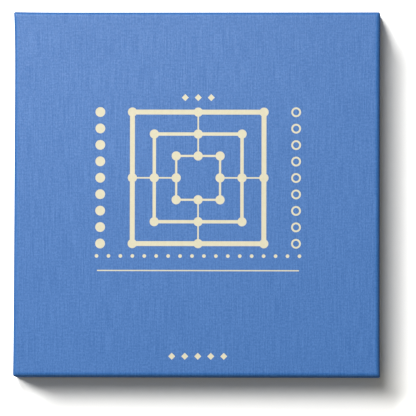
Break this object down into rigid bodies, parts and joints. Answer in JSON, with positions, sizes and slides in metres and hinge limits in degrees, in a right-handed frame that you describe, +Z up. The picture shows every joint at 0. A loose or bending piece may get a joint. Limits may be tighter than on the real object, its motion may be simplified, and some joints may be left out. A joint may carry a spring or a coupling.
{
  "type": "board game box",
  "caption": "Square rigid game box with a lift-off lid over a base whose insert holds a playing board, a rules booklet and round wooden men in wells.",
  "frame": {"origin": "centre of the underside, on the surface that the box stands on", "axes": "+Z up through the lid, +X to the right and +Y to the back as the lid's figure is read; the light men are on the left"},
  "size_m": [0.24, 0.239, 0.04],
  "materials": {
    "greyboard": "bare grey board, matt, with flecks and cut edges",
    "stay_tape": "gummed kraft tape, matt",
    "linen_paper": "blue linen-embossed paper, matt with a faint sheen on the threads",
    "lining_paper": "smooth blue lining paper, matt",
    "floor_paper": "smooth dark blue paper, matt",
    "facing_paper": "smooth cream paper, matt",
    "foil_print": "cream pigment foil stamped into the paper, satin",
    "filler_card": "brown honeycomb card, matt",
    "ribbon_cloth": "cream grosgrain ribbon, ribbed",
    "booklet_cover": "uncoated cream paper, matt",
    "booklet_pages": "uncoated white paper, matt",
    "staple_wire": "bright staple wire",
    "light_wood": "turned maple, oiled, satin",
    "dark_wood": "turned walnut, oiled, satin"
  },
  "bodies": {
    "base": {"base_board": "greyboard", "base_corner_stays": "stay_tape", "base_wrap": "linen_paper", "base_bottom_sheet": "lining_paper", "base_lining": "lining_paper", "filler_pad": "filler_card", "floor_sheet": "floor_paper", "ledge_layer": "greyboard", "insert_frame": "greyboard", "insert_facing": "facing_paper"},
    "lid": {"lid_board": "greyboard", "lid_corner_stays": "stay_tape", "lid_wrap": "linen_paper", "lid_lining": "lining_paper", "lid_emblem": "foil_print"},
    "board": {"board_core": "greyboard", "board_wrap": "linen_paper", "board_backing": "facing_paper", "board_print": "foil_print", "board_ribbon": "ribbon_cloth"},
    "rules": {"rules_cover": "booklet_cover", "rules_pages": "booklet_pages", "rules_staples": "staple_wire"},
    "light_man_1": {"light_man_1": "light_wood"},
    "light_man_2": {"light_man_2": "light_wood"},
    "light_man_3": {"light_man_3": "light_wood"},
    "light_man_4": {"light_man_4": "light_wood"},
    "light_man_5": {"light_man_5": "light_wood"},
    "light_man_6": {"light_man_6": "light_wood"},
    "light_man_7": {"light_man_7": "light_wood"},
    "light_man_8": {"light_man_8": "light_wood"},
    "light_man_9": {"light_man_9": "light_wood"},
    "dark_man_1": {"dark_man_1": "dark_wood"},
    "dark_man_2": {"dark_man_2": "dark_wood"},
    "dark_man_3": {"dark_man_3": "dark_wood"},
    "dark_man_4": {"dark_man_4": "dark_wood"},
    "dark_man_5": {"dark_man_5": "dark_wood"},
    "dark_man_6": {"dark_man_6": "dark_wood"},
    "dark_man_7": {"dark_man_7": "dark_wood"},
    "dark_man_8": {"dark_man_8": "dark_wood"},
    "dark_man_9": {"dark_man_9": "dark_wood"}
  },
  "joints": [
    {"name": "lid_lift", "type": "slide", "parent": "base", "child": "lid", "axis": [0, 0, 1], "range_m": [0, 0.15]},
    {"name": "board_lift", "type": "slide", "parent": "base", "child": "board", "axis": [0, 0, 1], "range_m": [0, 0.0034]},
    {"name": "rules_lift", "type": "slide", "parent": "base", "child": "rules", "axis": [0, 0, 1], "range_m": [0, 0.0012]},
    {"name": "light_man_1_lift", "type": "slide", "parent": "base", "child": "light_man_1", "axis": [0, 0, 1], "range_m": [0, 0.0016]},
    {"name": "light_man_2_lift", "type": "slide", "parent": "base", "child": "light_man_2", "axis": [0, 0, 1], "range_m": [0, 0.0016]},
    {"name": "light_man_3_lift", "type": "slide", "parent": "base", "child": "light_man_3", "axis": [0, 0, 1], "range_m": [0, 0.0016]},
    {"name": "light_man_4_lift", "type": "slide", "parent": "base", "child": "light_man_4", "axis": [0, 0, 1], "range_m": [0, 0.0016]},
    {"name": "light_man_5_lift", "type": "slide", "parent": "base", "child": "light_man_5", "axis": [0, 0, 1], "range_m": [0, 0.0016]},
    {"name": "light_man_6_lift", "type": "slide", "parent": "base", "child": "light_man_6", "axis": [0, 0, 1], "range_m": [0, 0.0016]},
    {"name": "light_man_7_lift", "type": "slide", "parent": "base", "child": "light_man_7", "axis": [0, 0, 1], "range_m": [0, 0.0016]},
    {"name": "light_man_8_lift", "type": "slide", "parent": "base", "child": "light_man_8", "axis": [0, 0, 1], "range_m": [0, 0.0016]},
    {"name": "light_man_9_lift", "type": "slide", "parent": "base", "child": "light_man_9", "axis": [0, 0, 1], "range_m": [0, 0.0016]},
    {"name": "dark_man_1_lift", "type": "slide", "parent": "base", "child": "dark_man_1", "axis": [0, 0, 1], "range_m": [0, 0.0016]},
    {"name": "dark_man_2_lift", "type": "slide", "parent": "base", "child": "dark_man_2", "axis": [0, 0, 1], "range_m": [0, 0.0016]},
    {"name": "dark_man_3_lift", "type": "slide", "parent": "base", "child": "dark_man_3", "axis": [0, 0, 1], "range_m": [0, 0.0016]},
    {"name": "dark_man_4_lift", "type": "slide", "parent": "base", "child": "dark_man_4", "axis": [0, 0, 1], "range_m": [0, 0.0016]},
    {"name": "dark_man_5_lift", "type": "slide", "parent": "base", "child": "dark_man_5", "axis": [0, 0, 1], "range_m": [0, 0.0016]},
    {"name": "dark_man_6_lift", "type": "slide", "parent": "base", "child": "dark_man_6", "axis": [0, 0, 1], "range_m": [0, 0.0016]},
    {"name": "dark_man_7_lift", "type": "slide", "parent": "base", "child": "dark_man_7", "axis": [0, 0, 1], "range_m": [0, 0.0016]},
    {"name": "dark_man_8_lift", "type": "slide", "parent": "base", "child": "dark_man_8", "axis": [0, 0, 1], "range_m": [0, 0.0016]},
    {"name": "dark_man_9_lift", "type": "slide", "parent": "base", "child": "dark_man_9", "axis": [0, 0, 1], "range_m": [0, 0.0016]}
  ]
}
